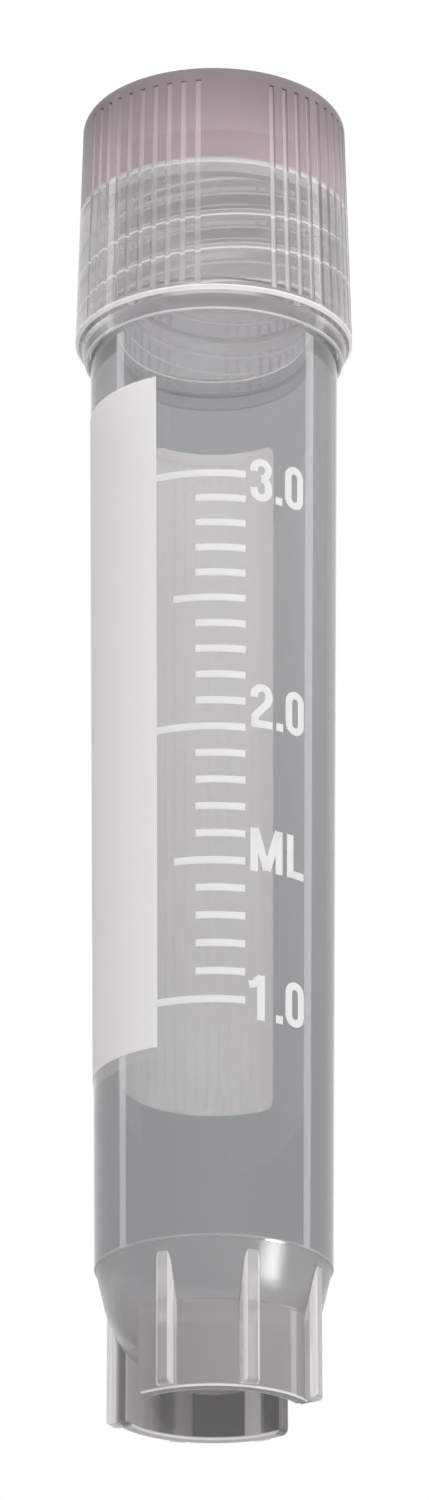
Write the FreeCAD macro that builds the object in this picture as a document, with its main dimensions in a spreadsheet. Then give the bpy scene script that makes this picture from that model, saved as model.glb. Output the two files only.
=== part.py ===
import FreeCAD, Part
import math
import os

import Sketcher

# Self-standing cryovial with an external two-start screw neck, a star foot and a screw cap.
# Millimetres and degrees. +Z is up along the tube, the origin is the centre of the foot's
# resting plane. Azimuths are measured from the front (-Y) towards +X.

os.makedirs("parts", exist_ok=True)
doc = FreeCAD.newDocument("cryovial")

SIZES = (
    # tube
    ("tube_foot_radius", 5.78),
    ("tube_top_radius", 6.3),
    ("shoulder_height", 56.9),
    ("shoulder_chamfer", 0.25),
    ("shoulder_width", 0.65),
    ("neck_height", 6.4),
    ("mouth_chamfer", 0.15),
    # bore
    ("foot_wall", 1.17),
    ("neck_wall", 0.62),
    ("bore_tip_height", 2.72),
    # round bottom
    ("foot_height", 7.2),
    ("foot_step", 0.07),
    ("dome_inset", 0.34),
    ("dome_tip_height", 1.2),
    # star foot
    ("skirt_inset", 0.83),
    ("skirt_wall", 0.6),
    ("skirt_corner", 0.35),
    ("ribs_per_side", 3),
    ("rib_pitch", 45),
    ("rib_azimuth", -25.8),
    ("rib_inset", 0.15),
    ("rib_tip_width", 0.76),
    ("rib_root_width", 1.1),
    ("rib_lift", 0.12),
    ("rib_rounding", 0.22),
    ("foot_burial", 0.3),
    ("skirt_end_azimuth", -46.5),
    # screw thread
    ("thread_lead", 3.8),
    ("thread_starts", 2),
    ("thread_depth", 0.4),
    ("thread_root_width", 1.0),
    ("thread_crest_width", 0.55),
    ("thread_foot_margin", 1.1),
    ("thread_mouth_margin", 1.0),
    ("thread_clearance", 0.1),
    ("thread_seat", 0.1),
    # sealing ring
    ("seal_thickness", 0.8),
    ("seal_inner_radius", 4.4),
    ("seal_clearance", 0.12),
    # cap
    ("cap_depth", 8.6),
    ("cap_height", 13.75),
    ("cap_wall", 0.61),
    ("cap_flare", 0.31),
    ("cap_edge_rounding", 0.75),
    ("cap_lip_height", 0.75),
    ("cap_rim_chamfer", 0.3),
    ("cap_lip_wall", 0.15),
    ("cap_lip_clearance", 0.12),
    ("cap_step_clearance", 0.3),
    ("cap_web", 1.8),
    ("cap_crown_width", 0.71),
    ("grip_groups", 4),
    ("grip_azimuth", 54.45),
    ("grip_pitch", 6.4),
    ("grip_grooves", 10),
    ("grip_groove_angle", 2.5),
    ("grip_groove_depth", 0.17),
    ("grip_rim_band", 0.2),
    ("grip_edge_band", 0.2),
    # printing
    ("print_thickness", 0.04),
    ("panel_azimuth", -27.6),
    ("panel_span", 181.0),
    ("panel_bottom", 16.8),
    ("panel_top_margin", 4.7),
    ("panel_corner", 0.5),
    ("mark_end_azimuth", 14.7),
    ("mark_width", 0.36),
    ("mark_minor_azimuth", -8.5),
    ("mark_half_azimuth", -18.9),
    ("first_volume", 1000.0),
    ("volume_step", 100.0),
)

sheet = doc.addObject("Spreadsheet::Sheet", "sizes")
for row, (alias, value) in enumerate(SIZES, start=1):
    sheet.set("A%d" % row, alias)
    sheet.set("B%d" % row, str(value))
    sheet.setAlias("B%d" % row, alias)
doc.recompute()

# Places that follow from the sizes, as expressions on the sheet.
NECK_RADIUS = "(sizes.tube_top_radius - sizes.shoulder_width)"
BORE_FOOT_RADIUS = "(sizes.tube_foot_radius - sizes.foot_wall)"
BORE_MOUTH_RADIUS = "(%s - sizes.neck_wall)" % NECK_RADIUS
BORE_CENTRE = "(sizes.bore_tip_height + %s)" % BORE_FOOT_RADIUS
DOME_RADIUS = "(sizes.tube_foot_radius - sizes.dome_inset)"
DOME_CENTRE = "(sizes.dome_tip_height + %s)" % DOME_RADIUS
FOOT_TOP_RADIUS = "(sizes.tube_foot_radius - sizes.foot_step)"
SKIRT_RADIUS = "(sizes.tube_foot_radius - sizes.skirt_inset)"
RIB_RADIUS = "(sizes.tube_foot_radius - sizes.rib_inset)"
MOUTH = "(sizes.shoulder_height + sizes.neck_height)"
TUBE_TAPER = (
    "((sizes.tube_top_radius - sizes.tube_foot_radius)"
    " / (sizes.shoulder_height - sizes.foot_height))"
)
TUBE_MIDDLE = "((sizes.foot_height + sizes.shoulder_height) / 2)"
BORE_TAPER = (
    "((%s - %s) / (%s - %s))" % (BORE_MOUTH_RADIUS, BORE_FOOT_RADIUS, MOUTH, BORE_CENTRE)
)
THREAD_CREST = "(%s + sizes.thread_depth)" % NECK_RADIUS
THREAD_PITCH = "(sizes.thread_lead / sizes.thread_starts)"
THREAD_FIRST = "(sizes.shoulder_height + sizes.thread_foot_margin)"
THREAD_RISE = "(sizes.neck_height - sizes.thread_foot_margin - sizes.thread_mouth_margin)"
# The foot's straight flank touches the dome's arc at a tangent.
FLANK_REACH = "(pow(%s; 2) + pow(sizes.foot_height - %s; 2))" % (FOOT_TOP_RADIUS, DOME_CENTRE)
FLANK_ANGLE = (
    "(atan((sizes.foot_height - %s) / %s) - acos(%s / sqrt(%s)))"
    % (DOME_CENTRE, FOOT_TOP_RADIUS, DOME_RADIUS, FLANK_REACH)
)
DOME_TANGENT_RADIUS = "(%s * cos(%s))" % (DOME_RADIUS, FLANK_ANGLE)
DOME_TANGENT_HEIGHT = "(%s + %s * sin(%s))" % (DOME_CENTRE, DOME_RADIUS, FLANK_ANGLE)
CAP_BORE = "(%s + sizes.thread_clearance)" % THREAD_CREST
CAP_TOP_RADIUS = "(%s + sizes.cap_wall)" % CAP_BORE
CAP_RIM_RADIUS = "(%s + sizes.cap_flare)" % CAP_TOP_RADIUS
CAP_RECESS_RADIUS = "(%s - sizes.cap_edge_rounding - sizes.cap_crown_width)" % CAP_TOP_RADIUS
CEILING = "(%s + sizes.seal_thickness)" % MOUTH
CAP_BOTTOM = "(%s - sizes.cap_depth)" % CEILING
CAP_TOP = "(%s + sizes.cap_height)" % CAP_BOTTOM
CAP_LIP_TOP = "(%s + sizes.cap_lip_height)" % CAP_BOTTOM
CAP_RIM = "(%s + sizes.cap_rim_chamfer)" % CAP_LIP_TOP
RECESS_FLOOR = "(%s + sizes.cap_web)" % CEILING
CAP_LIP_BORE = "(sizes.tube_top_radius + sizes.cap_lip_clearance)"
CAP_STEP = "(sizes.shoulder_height + sizes.cap_step_clearance)"
# The cap's ridges fill the grooves between the vial's, less a clearance each side.
CAP_RIDGE_ROOM = "(%s - 2 * sizes.thread_clearance)" % THREAD_PITCH
CAP_THREAD_CREST_WIDTH = "(%s - sizes.thread_root_width)" % CAP_RIDGE_ROOM
CAP_THREAD_ROOT_WIDTH = "(%s - sizes.thread_crest_width)" % CAP_RIDGE_ROOM
MARKS = 21
TAPER = "taper"


def cap_radius(height):
    """The cap's outer radius at a height between its rim and its rounded edge."""
    high = "(%s - sizes.cap_edge_rounding)" % CAP_TOP
    slope = "(sizes.cap_flare / (%s - %s))" % (high, CAP_RIM)
    return "(%s - %s * (%s - %s))" % (CAP_RIM_RADIUS, slope, height, CAP_RIM)


def fill_height(volume):
    """The height at which the bore holds a volume: a hemisphere below a slender cone."""
    foot_cube = "pow(%s; 3)" % BORE_FOOT_RADIUS
    hemisphere = "(2 / 3 * pi * %s)" % foot_cube
    cube = "(%s + 3 * %s * (%s - %s) / pi)" % (foot_cube, BORE_TAPER, volume, hemisphere)
    radius = "pow(%s; 1 / 3)" % cube
    return "(%s + (%s - %s) / %s)" % (BORE_CENTRE, radius, BORE_FOOT_RADIUS, BORE_TAPER)


def number(expression):
    """The present value of an expression on the sheet."""
    return float(sheet.evalExpression(expression))


def tube_radius(height):
    """The tube's outer radius at a height, both as expressions."""
    return "(sizes.tube_foot_radius + %s * (%s - sizes.foot_height))" % (TUBE_TAPER, height)


def new_body(name):
    return doc.addObject("PartDesign::Body", name)


def new_sketch(body, name, role, azimuth="0", lift="0"):
    """A sketch on the body's XZ_Plane or XY_Plane, turned about Z to an azimuth.

    On XY_Plane the front of the sketch (-Y) faces the azimuth. On XZ_Plane its +X does.
    """
    sketch = body.newObject("Sketcher::SketchObject", name)
    plane = next(item for item in body.Origin.OriginFeatures if item.Role == role)
    sketch.AttachmentSupport = [(plane, "")]
    sketch.MapMode = "FlatFace"
    if role == "XZ_Plane":
        sketch.AttachmentOffset = FreeCAD.Placement(
            FreeCAD.Vector(), FreeCAD.Rotation(FreeCAD.Vector(0, 1, 0), 1)
        )
        sketch.setExpression("AttachmentOffset.Rotation.Angle", "%s - 90" % azimuth)
    else:
        sketch.AttachmentOffset = FreeCAD.Placement(
            FreeCAD.Vector(), FreeCAD.Rotation(FreeCAD.Vector(0, 0, 1), 1)
        )
        sketch.setExpression("AttachmentOffset.Rotation.Angle", azimuth)
        sketch.setExpression("AttachmentOffset.Base.z", lift)
    return sketch


def pin_point(sketch, geometry, end, x, y):
    """Ties one end of a sketch line or arc to two expressions."""
    for kind, axis, expression in (("DistanceX", -2, x), ("DistanceY", -1, y)):
        if expression == "0":
            sketch.addConstraint(Sketcher.Constraint("PointOnObject", geometry, end, axis))
        else:
            value = number(expression)
            index = sketch.addConstraint(Sketcher.Constraint(kind, -1, 1, geometry, end, value))
            sketch.setExpression("Constraints[%d]" % index, expression)


def arc_between(start, end, radius, bulge):
    """The arc from start to end whose centre lies to the left (bulge 1) or right (-1)."""
    chord = end - start
    middle = (start + end) * 0.5
    rise = math.sqrt(max(radius ** 2 - (chord.Length / 2) ** 2, 0.0))
    normal = FreeCAD.Vector(-chord.y, chord.x, 0)
    normal.normalize()
    centre = middle + normal * rise * bulge
    begin = math.atan2(start.y - centre.y, start.x - centre.x)
    finish = math.atan2(end.y - centre.y, end.x - centre.x)
    if bulge < 0:
        begin, finish = finish, begin
    circle = Part.Circle(centre, FreeCAD.Vector(0, 0, 1), radius)
    return Part.ArcOfCircle(circle, begin, finish)


def draw_outline(sketch, corners):
    """Closes a loop through corners (x, y), all bound to the sheet.

    A corner (x, y, radius, bulge) is reached by an arc from the corner before it, and a
    corner (x, y, TAPER) by a straight spline, which turns into one long ruled wall.
    """
    points = [FreeCAD.Vector(number(c[0]), number(c[1]), 0) for c in corners]
    ends = []
    for index, corner in enumerate(corners):
        start, end = points[index - 1], points[index]
        if len(corner) == 4:
            radius, bulge = corner[2:]
            edge = sketch.addGeometry(arc_between(start, end, number(radius), bulge), False)
            constraint = Sketcher.Constraint("Radius", edge, number(radius))
            tied = sketch.addConstraint(constraint)
            sketch.setExpression("Constraints[%d]" % tied, radius)
            ends.append((edge, 1, 2) if bulge > 0 else (edge, 2, 1))
        elif len(corner) == 3:
            straight = Part.BSplineCurve()
            straight.buildFromPolesMultsKnots([start, end], [2, 2], [0, 1], False, 1)
            edge = sketch.addGeometry(straight, False)
            ends.append((edge, 1, 2))
        else:
            edge = sketch.addGeometry(Part.LineSegment(start, end), False)
            ends.append((edge, 1, 2))
    for index, corner in enumerate(corners):
        edge, _, last = ends[index]
        following, first, _ = ends[(index + 1) % len(ends)]
        sketch.addConstraint(Sketcher.Constraint("Coincident", edge, last, following, first))
        pin_point(sketch, edge, last, corner[0], corner[1])


def turned(body, name, corners, kind="PartDesign::Revolution", angle=None, azimuth="90"):
    """A revolved (or grooved) feature about Z of a section given as corners (radius, height)."""
    sketch = new_sketch(body, name + "_section", "XZ_Plane", azimuth)
    draw_outline(sketch, corners)
    feature = body.newObject(kind, name)
    feature.Profile = sketch
    feature.ReferenceAxis = (sketch, ["V_Axis"])
    if angle:
        feature.Midplane = True
        feature.setExpression("Angle", angle)
    else:
        feature.Angle = 360
    doc.recompute()
    return feature


def repeated(body, name, original, count, angle="360"):
    """The feature repeated about Z: count copies spread over the angle."""
    pattern = body.newObject("PartDesign::PolarPattern", name)
    pattern.Originals = [original]
    axis_z = next(item for item in body.Origin.OriginFeatures if item.Role == "Z_Axis")
    pattern.Axis = (axis_z, [""])
    pattern.setExpression("Angle", angle)
    pattern.setExpression("Occurrences", count)
    body.Tip = pattern
    doc.recompute()
    return pattern


def rounded(body, name, radius, chosen):
    """A fillet on the edges of the body's tip for which chosen(edge) is true."""
    base = body.Tip
    names = ["Edge%d" % i for i, edge in enumerate(base.Shape.Edges, 1) if chosen(edge)]
    fillet = body.newObject("PartDesign::Fillet", name)
    fillet.Base = (base, names)
    fillet.setExpression("Radius", radius)
    doc.recompute()
    return fillet


def thread(body, name, root, crest, root_width, crest_width, first_height, rise):
    """A screw thread of all its starts, from its first height upwards."""
    sketch = new_sketch(body, name + "_section", "XZ_Plane", "90")
    half_root = "%s / 2" % root_width
    half_crest = "%s / 2" % crest_width
    corners = [
        (root, "%s - %s" % (first_height, half_root)),
        (crest, "%s - %s" % (first_height, half_crest)),
        (crest, "%s + %s" % (first_height, half_crest)),
        (root, "%s + %s" % (first_height, half_root)),
    ]
    draw_outline(sketch, corners)
    helix = body.newObject("PartDesign::AdditiveHelix", name)
    helix.Profile = sketch
    helix.ReferenceAxis = (sketch, ["V_Axis"])
    helix.Mode = "pitch-height-angle"
    helix.setExpression("Pitch", "sizes.thread_lead")
    helix.setExpression("Height", rise)
    helix.Angle = 0
    doc.recompute()
    return repeated(body, name + "_starts", helix, "sizes.thread_starts")


def radius_of(point):
    return math.hypot(point.x, point.y)


def build_vial():
    """Tube, threaded neck, round bottom and star foot, moulded in one."""
    body = new_body("vial_body")
    add_foot(body)
    add_tube(body)
    thread(
        body,
        "neck_thread",
        NECK_RADIUS + " - sizes.thread_seat",
        THREAD_CREST,
        "sizes.thread_root_width",
        "sizes.thread_crest_width",
        THREAD_FIRST,
        THREAD_RISE,
    )
    return body


def add_foot(body):
    """The star foot: a skirt ring with ribs, open at two opposite gaps."""
    dome_drop = "sqrt(pow(%s; 2) - pow(%s; 2))" % (DOME_RADIUS, SKIRT_RADIUS)
    skirt_top = "(%s - %s + sizes.foot_burial)" % (DOME_CENTRE, dome_drop)
    inner = SKIRT_RADIUS + " - sizes.skirt_wall"
    turned(body, "skirt", [
        (inner, "0"),
        (SKIRT_RADIUS, "0"),
        (SKIRT_RADIUS, skirt_top),
        (inner, skirt_top),
    ])
    # The gaps run from behind a side's last rib to the other side's free end.
    last_rib = "(sizes.rib_azimuth + sizes.rib_pitch * (sizes.ribs_per_side - 1))"
    next_end = "(sizes.skirt_end_azimuth + 180)"
    gap = new_sketch(body, "gap_outline", "XY_Plane", "((%s + %s) / 2)" % (last_rib, next_end))
    reach = "sizes.tube_foot_radius"
    half_width = "%s * tan((%s - %s) / 2 * 1deg)" % (reach, next_end, last_rib)
    draw_outline(gap, [
        ("-" + half_width, "-" + reach),
        (half_width, "-" + reach),
        ("0", "0"),
    ])
    cut = body.newObject("PartDesign::Pocket", "gap")
    cut.Profile = gap
    cut.Type = "ThroughAll"
    cut.Midplane = True
    doc.recompute()
    repeated(body, "gaps", cut, "2")
    rounded(body, "skirt_corners", "sizes.skirt_corner", is_skirt_corner)
    # Ribs run from the skirt's inside out to just within the tube's radius.
    for side in (0, 180):
        azimuth = "sizes.rib_azimuth + %d" % side
        name = "rib_%d" % side
        rib = new_sketch(body, name + "_outline", "XY_Plane", azimuth, "sizes.rib_lift")
        draw_outline(rib, [
            ("-sizes.rib_root_width / 2", "-(%s)" % inner),
            ("-sizes.rib_tip_width / 2", "-" + RIB_RADIUS),
            ("sizes.rib_tip_width / 2", "-" + RIB_RADIUS),
            ("sizes.rib_root_width / 2", "-(%s)" % inner),
        ])
        pad = body.newObject("PartDesign::Pad", name)
        pad.Profile = rib
        rib_height = "sizes.foot_height - sizes.rib_lift + sizes.foot_burial"
        pad.setExpression("Length", rib_height)
        doc.recompute()
        span = "sizes.rib_pitch * (sizes.ribs_per_side - 1)"
        repeated(body, name + "_row", pad, "sizes.ribs_per_side", span)
    rounded(body, "rib_ends", "sizes.rib_rounding", is_rib_end)


def is_rib_end(edge):
    """The edges round a rib's outer face: its two sides and its lower end."""
    middle = edge.CenterOfMass
    return radius_of(middle) > number(RIB_RADIUS + " - sizes.rib_rounding") and (
        middle.z < number("sizes.foot_height")
    )


def is_skirt_corner(edge):
    """The radial edge at the foot of each side's free end."""
    low = all(abs(vertex.Point.z) < 1e-6 for vertex in edge.Vertexes)
    radial = abs(edge.Length - number("sizes.skirt_wall")) < 1e-3
    middle = edge.CenterOfMass
    azimuth = math.degrees(math.atan2(middle.x, -middle.y))
    turn = (azimuth - number("sizes.skirt_end_azimuth") + 90) % 180 - 90
    return low and radial and abs(turn) < number("sizes.rib_pitch / 4")


def add_tube(body):
    """The round bottom, tube wall and neck, then the bore down their middle."""
    shoulder = "sizes.shoulder_height"
    turned(body, "tube_outside", [
        ("0", "sizes.dome_tip_height"),
        (DOME_TANGENT_RADIUS, DOME_TANGENT_HEIGHT, DOME_RADIUS, 1),
        (FOOT_TOP_RADIUS, "sizes.foot_height"),
        ("sizes.tube_foot_radius", "sizes.foot_height"),
        (tube_radius(TUBE_MIDDLE), TUBE_MIDDLE, TAPER),
        (tube_radius("(sizes.shoulder_height - sizes.shoulder_chamfer)"),
         "sizes.shoulder_height - sizes.shoulder_chamfer", TAPER),
        ("sizes.tube_top_radius - sizes.shoulder_chamfer", shoulder),
        (NECK_RADIUS, shoulder),
        (NECK_RADIUS, "%s - sizes.mouth_chamfer" % MOUTH),
        (NECK_RADIUS + " - sizes.mouth_chamfer", MOUTH),
        ("0", MOUTH),
    ])
    turned(body, "bore", [
        ("0", "sizes.bore_tip_height"),
        (BORE_FOOT_RADIUS, BORE_CENTRE, BORE_FOOT_RADIUS, 1),
        (BORE_MOUTH_RADIUS, MOUTH, TAPER),
        ("0", MOUTH),
    ], kind="PartDesign::Groove")


def build_cap():
    """The screw cap: threaded skirt, closing web, recessed crown and grip grooves."""
    body = new_body("screw_cap")
    turned(body, "cap_shell", [
        ("0", CEILING),
        (CAP_BORE, CEILING),
        (CAP_BORE, CAP_STEP),
        (CAP_LIP_BORE, CAP_STEP),
        (CAP_LIP_BORE, CAP_BOTTOM),
        ("%s + sizes.cap_lip_wall" % CAP_LIP_BORE, CAP_BOTTOM),
        (CAP_RIM_RADIUS + " - sizes.cap_rim_chamfer", CAP_LIP_TOP),
        (CAP_RIM_RADIUS, CAP_RIM),
        (CAP_TOP_RADIUS, "%s - sizes.cap_edge_rounding" % CAP_TOP),
        (CAP_TOP_RADIUS + " - sizes.cap_edge_rounding", CAP_TOP,
         "sizes.cap_edge_rounding", 1),
        (CAP_RECESS_RADIUS, CAP_TOP),
        (CAP_RECESS_RADIUS, RECESS_FLOOR),
        ("0", RECESS_FLOOR),
    ])
    thread(
        body,
        "cap_thread",
        CAP_BORE + " + sizes.thread_seat",
        NECK_RADIUS + " + sizes.thread_clearance",
        CAP_THREAD_ROOT_WIDTH,
        CAP_THREAD_CREST_WIDTH,
        "%s + %s / 2" % (THREAD_FIRST, THREAD_PITCH),
        "%s - %s / 2" % (THREAD_RISE, THREAD_PITCH),
    )
    low = "(%s + sizes.grip_rim_band)" % CAP_RIM
    high = "(%s - sizes.cap_edge_rounding - sizes.grip_edge_band)" % CAP_TOP
    outside = CAP_RIM_RADIUS + " + sizes.grip_groove_depth"
    for group in range(int(number("sizes.grip_groups"))):
        start = "sizes.grip_azimuth - sizes.grip_pitch * (sizes.grip_grooves - 1) / 2"
        azimuth = "%s + %d * 360 / sizes.grip_groups" % (start, group)
        groove = turned(body, "grip_groove_%d" % (group + 1), [
            (cap_radius(low) + " - sizes.grip_groove_depth", low),
            (outside, low),
            (outside, high),
            (cap_radius(high) + " - sizes.grip_groove_depth", high),
        ], kind="PartDesign::Groove", angle="sizes.grip_groove_angle", azimuth="(%s)" % azimuth)
        span = "sizes.grip_pitch * (sizes.grip_grooves - 1)"
        repeated(body, "grip_%d" % (group + 1), groove, "sizes.grip_grooves", span)
    return body


def build_seal():
    """The sealing ring between the cap's web and the mouth."""
    body = new_body("sealing_ring")
    outer = "%s - sizes.seal_clearance" % CAP_BORE
    turned(body, "ring", [
        ("sizes.seal_inner_radius", MOUTH),
        (outer, MOUTH),
        (outer, CEILING),
        ("sizes.seal_inner_radius", CEILING),
    ])
    return body


def printed(name, azimuth_from, azimuth_to, low, high):
    """A thin printed field on the tube between two azimuths and two heights."""
    span = "(%s - (%s))" % (azimuth_to, azimuth_from)
    sectors = []
    for side, lift in (("outer", " + sizes.print_thickness"), ("inner", "")):
        sector = doc.addObject("Part::Cone", "%s_%s" % (name, side))
        sector.setExpression("Radius1", tube_radius(low) + lift)
        sector.setExpression("Radius2", tube_radius(high) + lift)
        sector.setExpression("Height", "%s - (%s)" % (high, low))
        sector.setExpression("Angle", span)
        sector.Placement.Rotation = FreeCAD.Rotation(FreeCAD.Vector(0, 0, 1), 1)
        sector.setExpression("Placement.Base.z", low)
        sector.setExpression("Placement.Rotation.Angle", "%s - 90" % azimuth_from)
        sectors.append(sector)
    field = doc.addObject("Part::Cut", name)
    field.Base, field.Tool = sectors
    doc.recompute()
    return field


def build_panel():
    """The white writing panel, half way round the tube, its far corners rounded."""
    body = new_body("writing_panel")
    low = "sizes.panel_bottom"
    high = "(sizes.shoulder_height - sizes.panel_top_margin)"
    turned(body, "panel_field", [
        (tube_radius(low), low),
        (tube_radius(low) + " + sizes.print_thickness", low),
        (tube_radius(high) + " + sizes.print_thickness", high),
        (tube_radius(high), high),
    ], angle="sizes.panel_span", azimuth="(sizes.panel_azimuth - sizes.panel_span / 2)")
    rounded(body, "panel_corners", "sizes.panel_corner", is_panel_corner)
    return body


def is_panel_corner(edge):
    """The two short radial edges at the panel's end away from the graduation."""
    middle = edge.CenterOfMass
    azimuth = math.degrees(math.atan2(middle.x, -middle.y))
    far_end = number("sizes.panel_azimuth - sizes.panel_span + 360")
    thin = edge.Length < number("2 * sizes.print_thickness")
    return thin and abs(azimuth - far_end) < number("sizes.panel_span / 4")


def build_marks():
    """The graduation: a bar for each volume step, at the height where the bore holds it."""
    bars = []
    for index in range(MARKS):
        volume = "(sizes.first_volume + %d * sizes.volume_step)" % index
        level = fill_height(volume)
        start = "sizes.mark_minor_azimuth"
        if index % 10 == 0:
            start = "sizes.panel_azimuth"
        elif index % 5 == 0:
            start = "sizes.mark_half_azimuth"
        low = "(%s - sizes.mark_width / 2)" % level
        high = "(%s + sizes.mark_width / 2)" % level
        bars.append(printed("mark_%02d" % index, start, "sizes.mark_end_azimuth", low, high))
    group = doc.addObject("Part::Compound", "graduation_marks")
    group.Links = bars
    return group


bodies = [build_vial(), build_cap(), build_seal(), build_panel(), build_marks()]
doc.recompute()
for item in doc.Objects:
    if "Invalid" in item.State or "Error" in item.State:
        raise RuntimeError("%s failed: %s" % (item.Name, item.State))
for item in bodies:
    shape = item.Shape
    if shape.isNull() or not shape.isValid():
        raise RuntimeError("%s has no valid shape" % item.Label)
    shape.exportStep("parts/%s.step" % item.Label)
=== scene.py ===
import math

import bmesh
import bpy
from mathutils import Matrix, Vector


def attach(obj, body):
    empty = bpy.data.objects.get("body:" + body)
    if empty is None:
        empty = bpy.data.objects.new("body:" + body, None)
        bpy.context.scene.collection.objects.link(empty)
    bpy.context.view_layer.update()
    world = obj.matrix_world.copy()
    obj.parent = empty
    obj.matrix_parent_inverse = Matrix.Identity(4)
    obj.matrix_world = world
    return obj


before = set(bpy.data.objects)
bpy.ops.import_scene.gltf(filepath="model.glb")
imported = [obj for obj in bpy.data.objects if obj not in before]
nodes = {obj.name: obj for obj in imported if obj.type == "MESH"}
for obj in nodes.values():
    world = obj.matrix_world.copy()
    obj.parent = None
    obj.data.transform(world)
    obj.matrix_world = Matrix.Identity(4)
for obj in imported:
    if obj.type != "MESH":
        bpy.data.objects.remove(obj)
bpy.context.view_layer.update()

MM = 0.001


class Graph:
    """The node tree of a material or of the world, with short ways to add and join nodes."""

    def __init__(self, owner):
        self.owner = owner
        owner.use_nodes = True
        self.tree = owner.node_tree
        self.tree.nodes.clear()

    def node(self, kind, **settings):
        made = self.tree.nodes.new(kind)
        for key, value in settings.items():
            setattr(made, key, value)
        return made

    def feed(self, socket, value):
        if isinstance(value, bpy.types.NodeSocket):
            self.tree.links.new(value, socket)
        else:
            socket.default_value = value

    def math(self, operation, *values, clamp=False):
        made = self.node("ShaderNodeMath", operation=operation, use_clamp=clamp)
        for socket, value in zip(made.inputs, values):
            self.feed(socket, value)
        return made.outputs[0]

    def invert(self, value):
        return self.math("SUBTRACT", 1.0, value)

    def above(self, value, limit):
        return self.math("GREATER_THAN", value, limit)

    def below(self, value, limit):
        return self.math("LESS_THAN", value, limit)

    def step(self, value, low, high, curve="SMOOTHSTEP"):
        """0 at low and 1 at high, held past them, with a smooth or a LINEAR curve between."""
        made = self.node("ShaderNodeMapRange", interpolation_type=curve)
        self.feed(made.inputs["Value"], value)
        made.inputs["From Min"].default_value = low
        made.inputs["From Max"].default_value = high
        return made.outputs[0]

    def band(self, value, low, high, soft):
        """1 between low and high, falling to 0 over soft on each side."""
        rise = self.step(value, low - soft, low)
        fall = self.step(value, high, high + soft)
        return self.math("MULTIPLY", rise, self.invert(fall))

    def line(self, value, centre, half):
        """A soft line: 1 at centre, 0 at a distance of half."""
        away = self.math("ABSOLUTE", self.math("SUBTRACT", value, centre))
        return self.invert(self.step(away, 0.0, half))

    def fold(self, operation, values):
        result = values[0]
        for value in values[1:]:
            result = self.math(operation, result, value)
        return result

    def any(self, *values):
        return self.fold("MAXIMUM", values)

    def all(self, *values):
        return self.fold("MULTIPLY", values)

    def strongest(self, *pairs):
        """The largest of several masks, each multiplied by its weight."""
        return self.any(*[self.math("MULTIPLY", mask, weight) for mask, weight in pairs])

    def colour(self, factor, first, second):
        made = self.node("ShaderNodeMix", data_type="RGBA")
        self.feed(made.inputs["Factor"], factor)
        self.feed(made.inputs[6], first)
        self.feed(made.inputs[7], second)
        return made.outputs[2]

    def dim(self, colour, factor):
        made = self.node("ShaderNodeVectorMath", operation="SCALE")
        self.feed(made.inputs[0], colour)
        self.feed(made.inputs["Scale"], factor)
        return made.outputs[0]

    def soft_noise(self, scale):
        where = self.node("ShaderNodeTexCoord")
        made = self.node("ShaderNodeTexNoise")
        made.inputs["Scale"].default_value = scale
        self.feed(made.inputs["Vector"], where.outputs["Object"])
        return made.outputs[0]

    def shader(self, kind, **values):
        made = self.node(kind)
        for key, value in values.items():
            self.feed(made.inputs[key.replace("_", " ")], value)
        return made.outputs[0]

    def blend(self, factor, first, second):
        made = self.node("ShaderNodeMixShader")
        self.feed(made.inputs[0], factor)
        self.feed(made.inputs[1], first)
        self.feed(made.inputs[2], second)
        return made.outputs[0]

    def place(self):
        """x, y, z, radius and azimuth (degrees from -Y towards +X), lengths in millimetres."""
        where = self.node("ShaderNodeTexCoord")
        scale = self.node("ShaderNodeVectorMath", operation="SCALE")
        scale.inputs["Scale"].default_value = 1000.0
        self.feed(scale.inputs[0], where.outputs["Object"])
        parts = self.node("ShaderNodeSeparateXYZ")
        self.feed(parts.inputs[0], scale.outputs[0])
        x, y, z = parts.outputs
        squares = self.math("ADD", self.math("MULTIPLY", x, x), self.math("MULTIPLY", y, y))
        radius = self.math("SQRT", squares)
        turn = self.math("ARCTAN2", x, self.math("MULTIPLY", y, -1.0))
        azimuth = self.math("MULTIPLY", turn, 180.0 / math.pi)
        return x, y, z, radius, azimuth

    def lights_pass(self, factor, surface):
        """The surface, seen through in part by lamp light and by light already scattered."""
        path = self.node("ShaderNodeLightPath")
        ray = self.math("MAXIMUM", path.outputs["Is Shadow Ray"], path.outputs["Is Diffuse Ray"])
        open_way = self.shader("ShaderNodeBsdfTransparent")
        return self.blend(self.math("MULTIPLY", ray, factor), surface, open_way)

    def climb(self, z, azimuth, start):
        """Height above the nearest ridge's middle, for threads that start at +X and climb to the left."""
        turned = self.math("MULTIPLY_ADD", azimuth, -THREAD_LEAD / 360.0, -start + THREAD_LEAD * 0.25)
        return self.math("WRAP", self.math("ADD", z, turned), THREAD_PITCH / 2, -THREAD_PITCH / 2)

    def ball(self, radius, z, centre):
        """Distance from a point on the axis at a height."""
        rise = self.math("SUBTRACT", z, centre)
        squares = self.math("ADD", self.math("MULTIPLY", radius, radius), self.math("MULTIPLY", rise, rise))
        return self.math("SQRT", squares)

    def finish(self, surface, inside=None, kind="ShaderNodeOutputMaterial"):
        output = self.node(kind)
        self.tree.links.new(surface, output.inputs["Surface"])
        if inside is not None:
            self.tree.links.new(inside, output.inputs["Volume"])
        return self.owner


def new_material(name):
    return Graph(bpy.data.materials.new(name))


def dress(name, material):
    for slot in nodes[name].material_slots:
        slot.material = material


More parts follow.
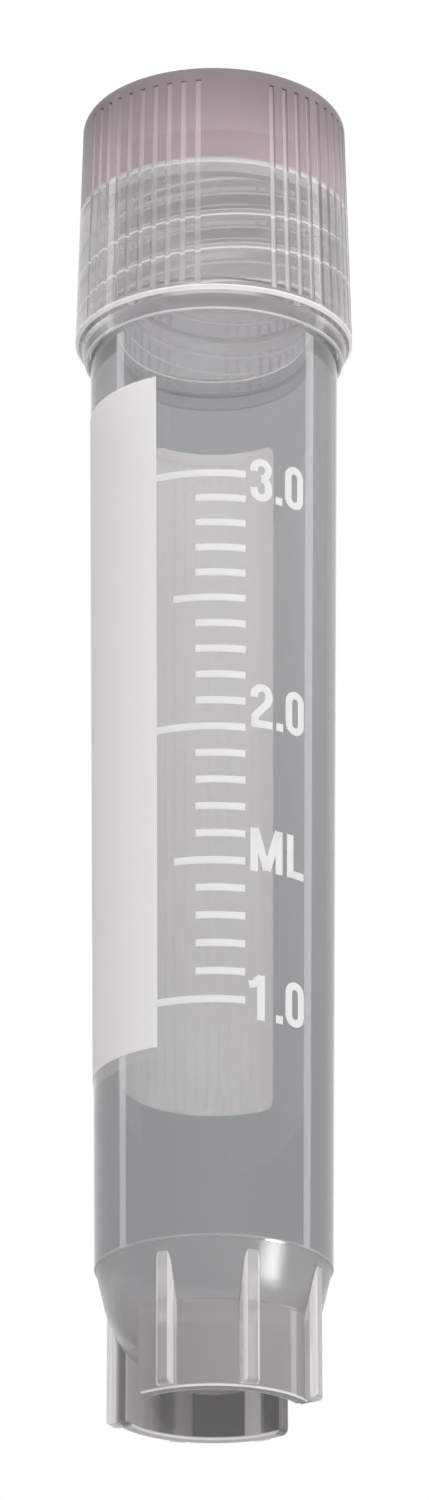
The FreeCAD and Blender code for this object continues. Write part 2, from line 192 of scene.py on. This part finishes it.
# ------------------------------------------------------------------ sizes, in millimetres
FOOT_HEIGHT = 7.2
SHOULDER = 56.9
CEILING = 64.1
TUBE_FOOT = 5.78
TUBE_SLOPE = 0.010463
TUBE_TOP = 6.25
BORE_FOOT = 4.61
BORE_SLOPE = 0.0075
BORE_CENTRE = 7.33
DOME_RADIUS = 5.44
DOME_CENTRE = 6.64
PANEL_START = -27.6
PANEL_END = 142.8
PANEL_EDGE = 151.4
PANEL_RISE = 0.68
PANEL_CORNER = 0.6
PANEL_BOTTOM = 16.8
PANEL_TOP = 52.2
PRINT = 0.04
RIB_AZIMUTH = -25.8
THREAD_LEAD = 3.8
THREAD_PITCH = 1.9
THREAD_START = 58.0
CAP_THREAD_START = 58.95
FOOT_SEAM = 0.1
SKIN = 0.06
FLANK_SLOPE = 0.23
FLANK_RADIUS = 5.303
FLANK_HEIGHT = 5.43
SKIRT_NEAR = 4.2
SKIRT_FAR = 5.0
SKIRT_INNER_FACE = 4.5
SKIRT_OUTER_FACE = 4.9
HEM_INSIDE = 4.35
HEM_OUTSIDE = 4.95
HEM_SOFT = 0.13
RIB_INSIDE = 5.03
RIB_SIDE = 5.3
HALF_RIB_PITCH = 22.5
RIDGE_FOOT = 5.66
RIDGE_TOP = 5.74
RISE_START = 210.0
RISE_END = 240.0
CAP_RADIUS = 7.07
CAP_BASE = 56.55
CAP_TAPER = 0.31
CAP_TAPER_HEIGHT = 11.95
CAP_OUTSIDE = 6.45
CAP_TOP = 69.0
RIM_LOW = 56.42
RIM_HIGH = 56.6
RIM_RADIUS = 6.7
GROOVE_LOW = 56.7
GROOVE_HIGH = 68.3
GROOVE_SHALLOW = 0.05
GROOVE_DEEP = 0.3
CAP_SKIRT_LOW = 57.1
CAP_SKIRT_HIGH = 57.4
LIP_HEIGHT = 55.6
LIP_RADIUS = 6.52
SEAT_INSIDE = 6.0
SEAT_OUTSIDE = 6.3
RIDGE_EDGE = 0.65
SEAL_FOOT = 63.3


def tube_radius(z):
    return TUBE_FOOT + TUBE_SLOPE * (z - FOOT_HEIGHT)


# ------------------------------------------------------------------ materials
def vial_plastic():
    g = new_material("vial_plastic")
    x, y, z, radius, azimuth = g.place()
    wall = g.math("MULTIPLY_ADD", z, BORE_SLOPE, BORE_FOOT + 0.25 - BORE_SLOPE * BORE_CENTRE)
    in_wall = g.below(radius, wall)
    above = g.above(z, BORE_CENTRE)
    ball = g.ball(radius, z, BORE_CENTRE)
    inner = g.any(g.all(in_wall, above), g.below(ball, BORE_FOOT + 0.19))
    outer = g.invert(inner)
    # the foot: skirt ring, ribs and painted highlight lines along its edges
    low = g.below(z, FOOT_HEIGHT - FOOT_SEAM)
    off_dome = g.above(g.ball(radius, z, DOME_CENTRE), DOME_RADIUS + SKIN)
    flank = g.math("MULTIPLY_ADD", z, FLANK_SLOPE, FLANK_RADIUS + SKIN - FLANK_SLOPE * FLANK_HEIGHT)
    off_flank = g.above(radius, flank)
    rib = g.all(low, off_dome, off_flank, g.above(radius, RIB_INSIDE))
    skirt = g.all(low, off_dome, g.below(radius, SKIRT_FAR),
                  g.above(radius, SKIRT_NEAR))
    skirt_outside = g.all(skirt, g.above(radius, SKIRT_OUTER_FACE))
    # painted highlight: pale haze on the foot's bottom band and lines along its two edges
    hem = g.all(low, g.invert(g.step(z, 0.05, 0.2)))
    hem_edge_highlight = g.all(hem, g.any(g.line(radius, HEM_INSIDE, HEM_SOFT), g.line(radius, HEM_OUTSIDE, HEM_SOFT)))
    # ribs: how far round from the middle of the nearest one
    turned = g.math("WRAP", g.math("SUBTRACT", azimuth, RIB_AZIMUTH), HALF_RIB_PITCH, -HALF_RIB_PITCH)
    off_rib = g.math("ABSOLUTE", g.all(turned, radius, math.pi / 180))
    # painted highlight: pale lines along the ribs' edges
    rib_edge_highlight = g.all(rib, g.above(radius, RIB_SIDE), g.band(off_rib, 0.27, 0.42, 0.05))
    inner_face = g.all(skirt, g.below(radius, SKIRT_INNER_FACE))
    left = g.all(inner_face, g.step(g.math("MULTIPLY", x, -1.0), 1.8, 4.0))
    rib_root = g.all(inner_face, g.invert(g.step(off_rib, 0.38, 0.5)))
    # painted highlight: a pale line round the tube where the foot meets it
    ring = g.all(outer, g.line(z, FOOT_HEIGHT, 0.1))
    # painted highlight: the neck thread's crests and the edges of its crests are made pale
    ridge = g.all(g.above(z, SHOULDER + 0.05), g.step(radius, RIDGE_FOOT, RIDGE_TOP))
    climb = g.climb(z, azimuth, THREAD_START)
    edge = g.all(outer, g.above(z, SHOULDER + 0.2),
                 g.any(g.line(climb, 0.28, 0.15), g.math("MULTIPLY", g.line(climb, -RIDGE_EDGE, 0.13), 0.7)))
    tube_tint = g.colour(g.step(z, 8.0, 56.0), (0.16, 0.18, 0.193, 1), (0.25, 0.26, 0.274, 1))
    # painted light and shade: the tube's wall is tinted lighter at the front than at the back
    painted_front_light = g.math("MULTIPLY_ADD", g.step(y, -4.8, -1.0), -0.93, 1.55)
    tube_tint = g.dim(tube_tint, painted_front_light)
    tint = g.colour(g.above(z, SHOULDER), tube_tint, (0.75, 0.74, 0.75, 1))
    tint = g.colour(g.all(low, outer), tint, (0.185, 0.182, 0.192, 1))
    # painted shade: the skirt's wall is tinted nearly black, for the shadow inside the foot
    tint = g.colour(skirt, tint, (0.02, 0.022, 0.018, 1))
    tint = g.colour(rib, tint, (0.5, 0.48, 0.485, 1))
    tint = g.colour(inner, tint, (0.96, 0.96, 0.97, 1))
    polish = g.math("MULTIPLY_ADD", g.math("SUBTRACT", outer, g.step(z, 44.0, 50.0)), 0.035, 0.02)
    polish = g.math("MAXIMUM", polish, 0.015)
    under = g.all(low, outer, g.invert(g.any(skirt, rib)))
    polish = g.math("MULTIPLY_ADD", under, 0.2, polish)
    clear = g.shader("ShaderNodeBsdfPrincipled", Base_Color=tint, Roughness=polish, IOR=1.49,
                     Transmission_Weight=1.0, Specular_IOR_Level=0.22)
    haze = g.shader("ShaderNodeBsdfPrincipled", Base_Color=(0.74, 0.71, 0.71, 1), Roughness=0.4)
    root_weight = g.math("MULTIPLY_ADD", g.above(x, 0.0), 0.22, 0.16)
    cloud = g.strongest(
        (outer, 0.1),
        (under, 0.18),
        (skirt, 0.03),
        (left, 0.4),
        (skirt_outside, 0.3),
        (rib_root, root_weight),
        (rib, 0.32),
        # the weights from here down are painted highlights: pale lines on the rib edges, the hem, the ring and the
        # thread
        (rib_edge_highlight, 0.6),
        (hem, 0.3),
        (hem_edge_highlight, 0.85),
        (ring, 0.35),
        (ridge, 0.35),
        (edge, 0.95),
    )
    body = g.blend(cloud, clear, haze)
    # behind the panel the wall is bonded to the print, so nothing bends there
    behind = g.math("MAXIMUM", g.below(azimuth, PANEL_START),
                    g.above(azimuth, PANEL_END))
    # its top edge rises on the far side, where its corners are rounded
    round_way = g.math("WRAP", azimuth, 360.0, 0.0)
    across = g.math("MULTIPLY", g.math("SUBTRACT", round_way, PANEL_END), TUBE_TOP * math.pi / 180)
    climbed = g.math("MULTIPLY", g.step(round_way, RISE_END, RISE_START, "LINEAR"), PANEL_RISE)
    top = g.math("ADD", climbed, PANEL_TOP)
    near_end = g.math("MAXIMUM", g.math("SUBTRACT", PANEL_CORNER, across), 0.0)
    gone = g.math("SUBTRACT", PANEL_CORNER ** 2, g.math("MULTIPLY", near_end, near_end))
    drop = g.math("SUBTRACT", PANEL_CORNER, g.math("SQRT", g.math("MAXIMUM", gone, 0.0)))
    drop = g.all(drop, g.above(round_way, PANEL_END), g.below(round_way, 180.0))
    printed = g.all(outer, behind, g.above(z, g.math("ADD", drop, PANEL_BOTTOM)),
                    g.below(z, g.math("SUBTRACT", top, drop)))
    body = g.blend(printed, body, g.shader("ShaderNodeBsdfTransparent"))
    return g.finish(g.lights_pass(0.9, body))


def cap_plastic():
    g = new_material("cap_plastic")
    x, _, z, radius, azimuth = g.place()
    side = g.math("MULTIPLY_ADD", z, -CAP_TAPER / CAP_TAPER_HEIGHT,
                  CAP_RADIUS + CAP_BASE * CAP_TAPER / CAP_TAPER_HEIGHT)
    depth = g.math("SUBTRACT", side, radius)
    outer = g.above(radius, CAP_OUTSIDE)
    crown = g.step(z, CEILING - 0.6, CEILING - 0.15)
    groove = g.all(outer, g.band(depth, GROOVE_SHALLOW, GROOVE_DEEP, 0.03),
                   g.above(z, GROOVE_LOW),
                   g.below(z, GROOVE_HIGH))
    # painted highlights: pale lines at the rim, the lip, the seat and the thread turns seen through the wall
    rim_highlight = g.all(g.band(z, RIM_LOW, RIM_HIGH, 0.06), g.above(radius, RIM_RADIUS))
    skirt_end = g.invert(g.step(z, CAP_SKIRT_LOW, CAP_SKIRT_HIGH))
    lip_highlight = g.all(g.below(z, LIP_HEIGHT), g.line(radius, LIP_RADIUS, 0.16))
    seat_highlight = g.all(g.band(z, CEILING - 0.3, CEILING, 0.05), g.below(radius, SEAT_OUTSIDE),
                 g.above(radius, SEAT_INSIDE))
    climb = g.climb(z, azimuth, CAP_THREAD_START)
    turns = g.all(outer, g.line(climb, RIDGE_EDGE, 0.14), g.band(z, 57.8, 61.0, 0.7))
    tint = g.colour(crown, (0.58, 0.572, 0.58, 1), (0.12, 0.1, 0.108, 1))
    tint = g.colour(skirt_end, tint, (0.84, 0.84, 0.855, 1))
    tint = g.colour(outer, (0.95, 0.935, 0.94, 1), tint)
    gloss = g.math("MULTIPLY_ADD", skirt_end, -0.1, 0.22)
    clear = g.shader("ShaderNodeBsdfPrincipled", Base_Color=tint, Roughness=0.15, IOR=1.49,
                     Specular_IOR_Level=gloss, Transmission_Weight=1.0)
    shade = g.math("MULTIPLY_ADD", g.soft_noise(260.0), 0.3, 0.85)
    # painted light and shade: the crown is made lighter low down and darker towards its top
    painted_crown_shade = g.math("MULTIPLY_ADD", g.step(z, CEILING, CAP_TOP), -0.7, 0.5)
    shade = g.math("MULTIPLY", shade, g.math("MULTIPLY_ADD", crown, painted_crown_shade, 1.0))
    dull = g.colour(crown, (0.55, 0.53, 0.535, 1), (0.245, 0.2, 0.215, 1))
    pale = g.colour(crown, (0.62, 0.59, 0.6, 1), (0.36, 0.305, 0.325, 1))
    dull = g.colour(groove, dull, pale)
    dull = g.dim(dull, shade)
    # painted highlight: the rim, lip, seat and thread lines are near white
    dull = g.colour(g.any(rim_highlight, lip_highlight, seat_highlight, turns), dull, (0.95, 0.93, 0.93, 1))
    haze = g.shader("ShaderNodeBsdfPrincipled", Base_Color=dull, Roughness=0.45, Specular_IOR_Level=0.25)
    wall_cloud = g.math("MULTIPLY_ADD", skirt_end, -0.14, 0.2)
    cloud = g.strongest(
        (outer, g.math("MULTIPLY_ADD", crown, 0.65, wall_cloud)),
        # painted highlight: the grooves on the +X side get more pale haze
        (groove, g.math("MULTIPLY_ADD", g.band(x, 3.0, 5.0, 0.3), 0.25, 0.35)),
        (rim_highlight, 0.65),
        (lip_highlight, 0.6),
        (seat_highlight, 0.95),
        (turns, 0.45),
    )
    # the wall is darker where it is seen edge on, because light crosses more of it
    wall = g.shader("ShaderNodeVolumeAbsorption", Color=(0.25, 0.18, 0.22, 1), Density=90.0)
    return g.finish(g.lights_pass(0.9, g.blend(cloud, clear, haze)), wall)


def seal_rubber():
    g = new_material("seal_rubber")
    _, _, z, _, _ = g.place()
    tone = g.colour(g.step(z, SEAL_FOOT, CEILING), (0.62, 0.6, 0.6, 1), (0.7, 0.68, 0.68, 1))
    surface = g.shader("ShaderNodeBsdfPrincipled", Base_Color=tone, Roughness=0.5,
                       Transmission_Weight=0.3)
    return g.finish(g.lights_pass(0.7, surface))


def white_print():
    g = new_material("white_print")
    _, _, _, _, azimuth = g.place()
    scale = g.all(g.above(azimuth, PANEL_START + 0.2), g.below(azimuth, 90.0))
    noise = g.node("ShaderNodeTexNoise")
    noise.inputs["Scale"].default_value = 1500.0
    shade = g.colour(noise.outputs[0], (0.77, 0.92, 0.91, 1), (0.81, 0.96, 0.95, 1))
    shade = g.colour(scale, shade, (0.86, 0.87, 0.87, 1))
    ink = g.shader("ShaderNodeBsdfPrincipled", Base_Color=shade, Roughness=0.6)
    glow = g.colour(scale, (0.93, 0.80, 0.785, 1), (0.86, 0.86, 0.86, 1))
    through = g.shader("ShaderNodeBsdfTranslucent", Color=glow)
    return g.finish(g.blend(0.6, ink, through))


PLASTIC = vial_plastic()
CAP = cap_plastic()
SEAL = seal_rubber()
INK = white_print()
dress("vial_body", PLASTIC)
dress("screw_cap", CAP)
dress("sealing_ring", SEAL)
dress("writing_panel", INK)
dress("graduation_marks", INK)


# ------------------------------------------------------------------ numerals
HEIGHT = 2.3
STROKE = 0.38
HALF = STROKE / 2
DIGIT = 1.16


def arc(centre, reach, start, end, steps=10):
    """Points on an ellipse's arc, angles in degrees counter-clockwise from the right."""
    turns = [math.radians(start + (end - start) * i / steps) for i in range(steps + 1)]
    return [(centre[0] + reach[0] * math.cos(t), centre[1] + reach[1] * math.sin(t)) for t in turns]


def run(*points):
    """The points with more between them, so that a long straight stroke can bend round the tube."""
    path = [points[0]]
    for (x0, y0), (x1, y1) in zip(points, points[1:]):
        steps = max(1, round(math.hypot(x1 - x0, y1 - y0) / 0.2))
        path += [(x0 + (x1 - x0) * i / steps, y0 + (y1 - y0) * i / steps) for i in range(1, steps + 1)]
    return path


def zero():
    middle, reach = DIGIT / 2, DIGIT / 2 - HALF
    top, bottom = HEIGHT - HALF - reach, HALF + reach
    path = arc((middle, top), (reach, reach), 0, 180)
    path += arc((middle, bottom), (reach, reach), 180, 360)
    return [(path, True)]


def one():
    stem = run((0.62, 0), (0.62, HEIGHT))
    flag = run((0.02, HEIGHT - 0.52), (0.28, HEIGHT - 0.46), (0.52, HEIGHT - 0.2))
    return [(stem, False), (flag, False)]


def two():
    middle, reach = DIGIT / 2, DIGIT / 2 - HALF
    top = HEIGHT - HALF - reach
    path = [(HALF, top - 0.14)] + arc((middle, top), (reach, reach), 180, 0)
    path += [(DIGIT - HALF, top - 0.2), (DIGIT - HALF - 0.1, top - 0.42)]
    path += run((DIGIT - HALF - 0.1, top - 0.42), (HALF + 0.06, 0.62))[1:]
    path += [(HALF + 0.01, HALF)]
    return [(path, False), (run((HALF * 0.2, HALF), (DIGIT, HALF)), False)]


def three():
    middle, reach = DIGIT / 2, DIGIT / 2 - HALF
    top, bottom = HEIGHT - HALF - reach, HALF + reach
    upper = [(HALF, top - 0.1)] + arc((middle, top), (reach, reach), 180, 0)
    upper += arc((middle - 0.05, top - 0.1), (reach + 0.02, 0.4), -10, -80, 5)
    lower = arc((middle - 0.05, bottom + 0.22), (reach + 0.05, 0.42), 80, 10, 5)
    lower += arc((middle, bottom), (reach, reach), 0, -180) + [(HALF, bottom + 0.14)]
    return [(upper, False), (lower, False)]


def dot():
    return [(run((0.19, 0), (0.19, 0.4)), False)]


def letter_m():
    width = 1.72
    left = run((HALF, 0), (HALF, HEIGHT - 0.08))
    right = run((width - HALF, 0), (width - HALF, HEIGHT - 0.08))
    down = run((HALF + 0.04, HEIGHT - 0.1), (width / 2, 0.1))
    up = run((width / 2, 0.1), (width - HALF - 0.04, HEIGHT - 0.1))
    return [(left, False), (right, False), (down, False), (up, False)]


def letter_l():
    return [(run((HALF, 0), (HALF, HEIGHT - 0.08)), False), (run((HALF, HALF), (1.06, HALF)), False)]


def ribbon(mesh, path, closed, width, start, base):
    """A printed stroke of the path, bent round the tube from an azimuth and a height."""
    count = len(path)
    rows = []
    for i, (u, v) in enumerate(path):
        before = path[i - 1] if i or closed else path[i]
        after = path[(i + 1) % count] if i < count - 1 or closed else path[i]
        along = Vector((after[0] - before[0], after[1] - before[1])).normalized()
        across = Vector((-along.y, along.x)) * width / 2
        row = []
        for side, lift in ((1, 0.002), (1, PRINT), (-1, PRINT), (-1, 0.002)):
            height = base + v + across.y * side
            radius = tube_radius(height) + lift
            turn = math.radians(start) + (u + across.x * side) / tube_radius(height)
            spot = (radius * math.sin(turn), -radius * math.cos(turn), height)
            row.append(mesh.verts.new([c * MM for c in spot]))
        rows.append(row)
    pairs = list(zip(rows, rows[1:])) + ([(rows[-1], rows[0])] if closed else [])
    for here, there in pairs:
        for k in range(4):
            mesh.faces.new((here[k], here[(k + 1) % 4], there[(k + 1) % 4], there[k]))
    if not closed:
        mesh.faces.new(rows[0])
        mesh.faces.new(rows[-1])


def print_label(mesh, text, start, base):
    """Glyphs in a row round the tube: start is an azimuth, base the height of their feet."""
    for glyph, advance in (GLYPHS[mark] for mark in text):
        for path, closed in glyph():
            ribbon(mesh, path, closed, STROKE, start, base)
        start += math.degrees(advance / tube_radius(base))


GLYPHS = {
    "0": (zero, 0),
    "1": (one, 1.43),
    "2": (two, 1.38),
    "3": (three, 1.38),
    ".": (dot, 0.55),
    "M": (letter_m, 2.0),
    "L": (letter_l, 0),
}
# text, azimuth of its left end, height of its feet
LABELS = (
    ("3.0", 16.9, 45.27),
    ("2.0", 17.2, 33.2),
    ("ML", 17.2, 25.7),
    ("1.0", 16.5, 18.06),
)
numbers = bmesh.new()
for text, start, base in LABELS:
    print_label(numbers, text, start, base)


# ------------------------------------------------------------------ the panel's margin
# on its far side: past the end of the CAD model's panel, and above its top edge
def sheet(mesh, turns, low, high):
    """A printed strip through the azimuths, between two heights given for each."""
    rows = []
    for edge, lift in ((low, 0.002), (low, PRINT), (high, PRINT), (high, 0.002)):
        row = []
        for turn in turns:
            height = edge(turn)
            reach = tube_radius(height) + lift
            angle = math.radians(turn)
            spot = (reach * math.sin(angle), -reach * math.cos(angle), height)
            row.append(mesh.verts.new([c * MM for c in spot]))
        rows.append(row)
    for here, there in zip(rows, rows[1:] + rows[:1]):
        for i in range(len(turns) - 1):
            mesh.faces.new((here[i], here[i + 1], there[i + 1], there[i]))
    for i in (0, -1):
        mesh.faces.new([row[i] for row in rows])


def corner_drop(turn):
    near_end = max(0.0, PANEL_CORNER - math.radians(turn - PANEL_END) * TUBE_TOP)
    return PANEL_CORNER - math.sqrt(max(0.0, PANEL_CORNER ** 2 - near_end ** 2))


def panel_top(turn):
    return PANEL_TOP + PANEL_RISE * min(1.0, max(0.0, (RISE_END - turn) / (RISE_END - RISE_START))) - corner_drop(turn)


corner = math.degrees(PANEL_CORNER / TUBE_TOP)
end_turns = [PANEL_END + corner * (1 - math.cos(math.radians(9 * i))) for i in range(11)]
end_turns += [PANEL_END + corner + (PANEL_EDGE - PANEL_END - corner) * i / 2 for i in (1, 2)]
top_turns = [PANEL_EDGE + (RISE_START - PANEL_EDGE) * i / 24 for i in range(25)]
top_turns += [216.0, 222.0, 228.0, 234.0, 239.5]
sheet(numbers, end_turns, lambda turn: PANEL_BOTTOM + corner_drop(turn), panel_top)
sheet(numbers, top_turns, lambda turn: PANEL_TOP, panel_top)
bmesh.ops.recalc_face_normals(numbers, faces=numbers.faces)
label_mesh = bpy.data.meshes.new("graduation_numerals")
numbers.to_mesh(label_mesh)
numbers.free()
label = bpy.data.objects.new("graduation_numerals", label_mesh)
label_mesh.materials.append(INK)
bpy.context.scene.collection.objects.link(label)
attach(label, "vial")


# ------------------------------------------------------------------ stage
def pale_floor():
    g = new_material("pale_floor")
    under = g.node("ShaderNodeNewGeometry").outputs["Backfacing"]
    top = g.shader("ShaderNodeBsdfPrincipled", Base_Color=(0.68, 0.68, 0.68, 1), Roughness=0.9,
                   Specular_IOR_Level=0.0)
    # far from the vial it fades into the white surroundings
    _, _, _, radius, _ = g.place()
    path = g.node("ShaderNodeLightPath").outputs
    seen = g.any(path["Is Camera Ray"], path["Is Glossy Ray"], path["Is Transmission Ray"])
    white = g.shader("ShaderNodeEmission", Color=(1, 1, 1, 1), Strength=1.0)
    top = g.blend(g.math("MULTIPLY", g.step(radius, 60.0, 240.0), seen), top, white)
    open_way = g.shader("ShaderNodeBsdfTransparent")
    return g.finish(g.blend(under, top, open_way))


floor_mesh = bpy.data.meshes.new("floor")
side = 3.0
floor_mesh.from_pydata(
    [(-side, -side, 0), (side, -side, 0), (side, side, 0), (-side, side, 0)], [], [(0, 1, 2, 3)]
)
floor = bpy.data.objects.new("floor", floor_mesh)
floor.data.materials.append(pale_floor())
bpy.context.scene.collection.objects.link(floor)


def white_studio():
    """Even soft light, and plain white where the surroundings are seen directly or in the plastic."""
    g = Graph(bpy.data.worlds.new("studio"))
    path = g.node("ShaderNodeLightPath").outputs
    seen = g.any(path["Is Camera Ray"], path["Is Glossy Ray"], path["Is Transmission Ray"])
    soft = g.shader("ShaderNodeBackground", Color=(1, 1, 1, 1), Strength=0.85)
    white = g.shader("ShaderNodeBackground", Color=(1, 1, 1, 1), Strength=1.0)
    return g.finish(g.blend(seen, soft, white), kind="ShaderNodeOutputWorld")


bpy.context.scene.world = white_studio()


def lamp(name, place, aim, size, power, use, spread=180.0):
    light = bpy.data.lights.new(name, "AREA")
    light.shape = "RECTANGLE"
    light.size, light.size_y = size
    light.energy = power
    light.spread = math.radians(spread)
    made = bpy.data.objects.new(name, light)
    made.location = place
    made.rotation_euler = (Vector(aim) - Vector(place)).to_track_quat("-Z", "Y").to_euler()
    made.visible_glossy = use == "mirror"
    made.visible_diffuse = use == "diffuse"
    made.visible_transmission = False
    bpy.context.scene.collection.objects.link(made)


def round_place(azimuth, reach, height):
    turn = math.radians(azimuth)
    return (reach * math.sin(turn), -reach * math.cos(turn), height)


MIDDLE = (0, 0, 0.035)
lamp("front", round_place(18, 0.36, 0.075), MIDDLE, (0.22, 0.13), 0.78, "diffuse")
lamp("back", round_place(172, 0.34, 0.09), MIDDLE, (0.22, 0.16), 0.66, "diffuse")
lamp("left_strip", round_place(-97, 0.27, 0.135), MIDDLE, (0.045, 0.2), 0.085, "mirror")
lamp("right_strip", round_place(100, 0.27, 0.135), MIDDLE, (0.05, 0.2), 0.095, "mirror")
lamp("window", round_place(56.6, 0.04, 0.0028), (0.0029, -0.0048, 0.0055), (0.014, 0.005),
     0.0002, "mirror", 26.0)

# the photograph looks up at the vial from below its resting plane
camera = bpy.data.cameras.new("camera")
camera.sensor_fit = "VERTICAL"
camera.sensor_height = 36.0
camera.sensor_width = 36.0
camera.lens = 156.9
camera.clip_start = 0.01
view = bpy.data.objects.new("camera", camera)
view.location = (0.00003, -0.3019, -0.0875)
view.rotation_euler = (math.radians(111.97), 0.0, 0.0)
bpy.context.scene.collection.objects.link(view)
bpy.context.scene.camera = view
bpy.context.scene.view_settings.view_transform = "Standard"
